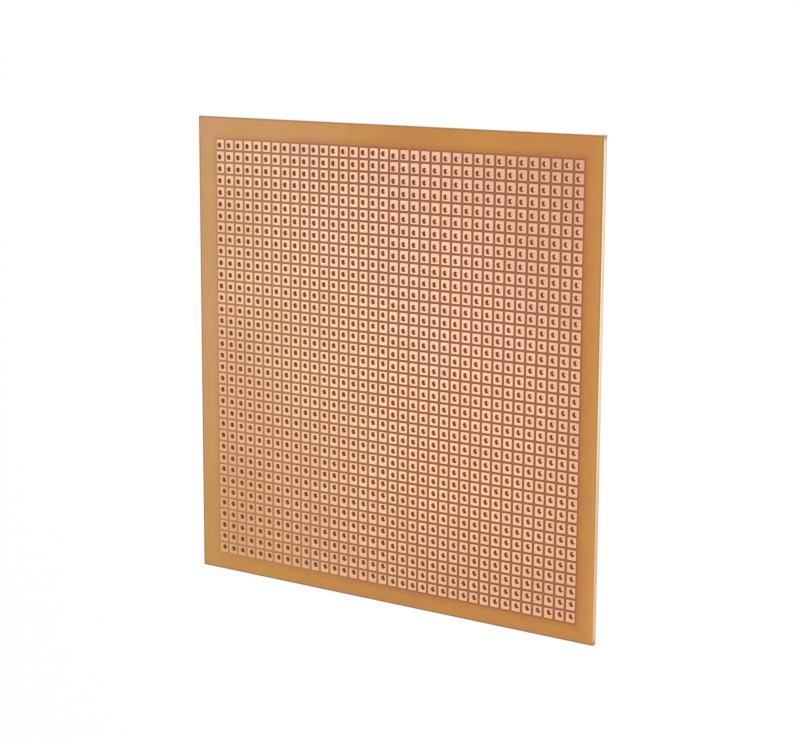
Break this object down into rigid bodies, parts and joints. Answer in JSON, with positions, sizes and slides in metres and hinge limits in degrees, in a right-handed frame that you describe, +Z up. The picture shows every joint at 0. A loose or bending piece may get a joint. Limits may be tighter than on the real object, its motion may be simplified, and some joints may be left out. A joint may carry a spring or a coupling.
{
  "type": "perforated prototype board",
  "caption": "Square prototype board of phenolic laminate, punched all over with a grid of lead holes, with a separate square copper pad round every hole on one side.",
  "frame": {"origin": "centre of the board's underside, which is the bare component side that it lies on", "axes": "+X along the rows of holes to the right, +Y along the columns to the far edge, +Z up out of the copper side"},
  "size_m": [0.1, 0.1, 0.0012],
  "materials": {
    "laminate": "phenolic paper laminate, pressed smooth, satin",
    "copper": null
  },
  "bodies": {
    "root": {"board_left": "laminate", "board_right": "laminate"}
  },
  "joints": []
}
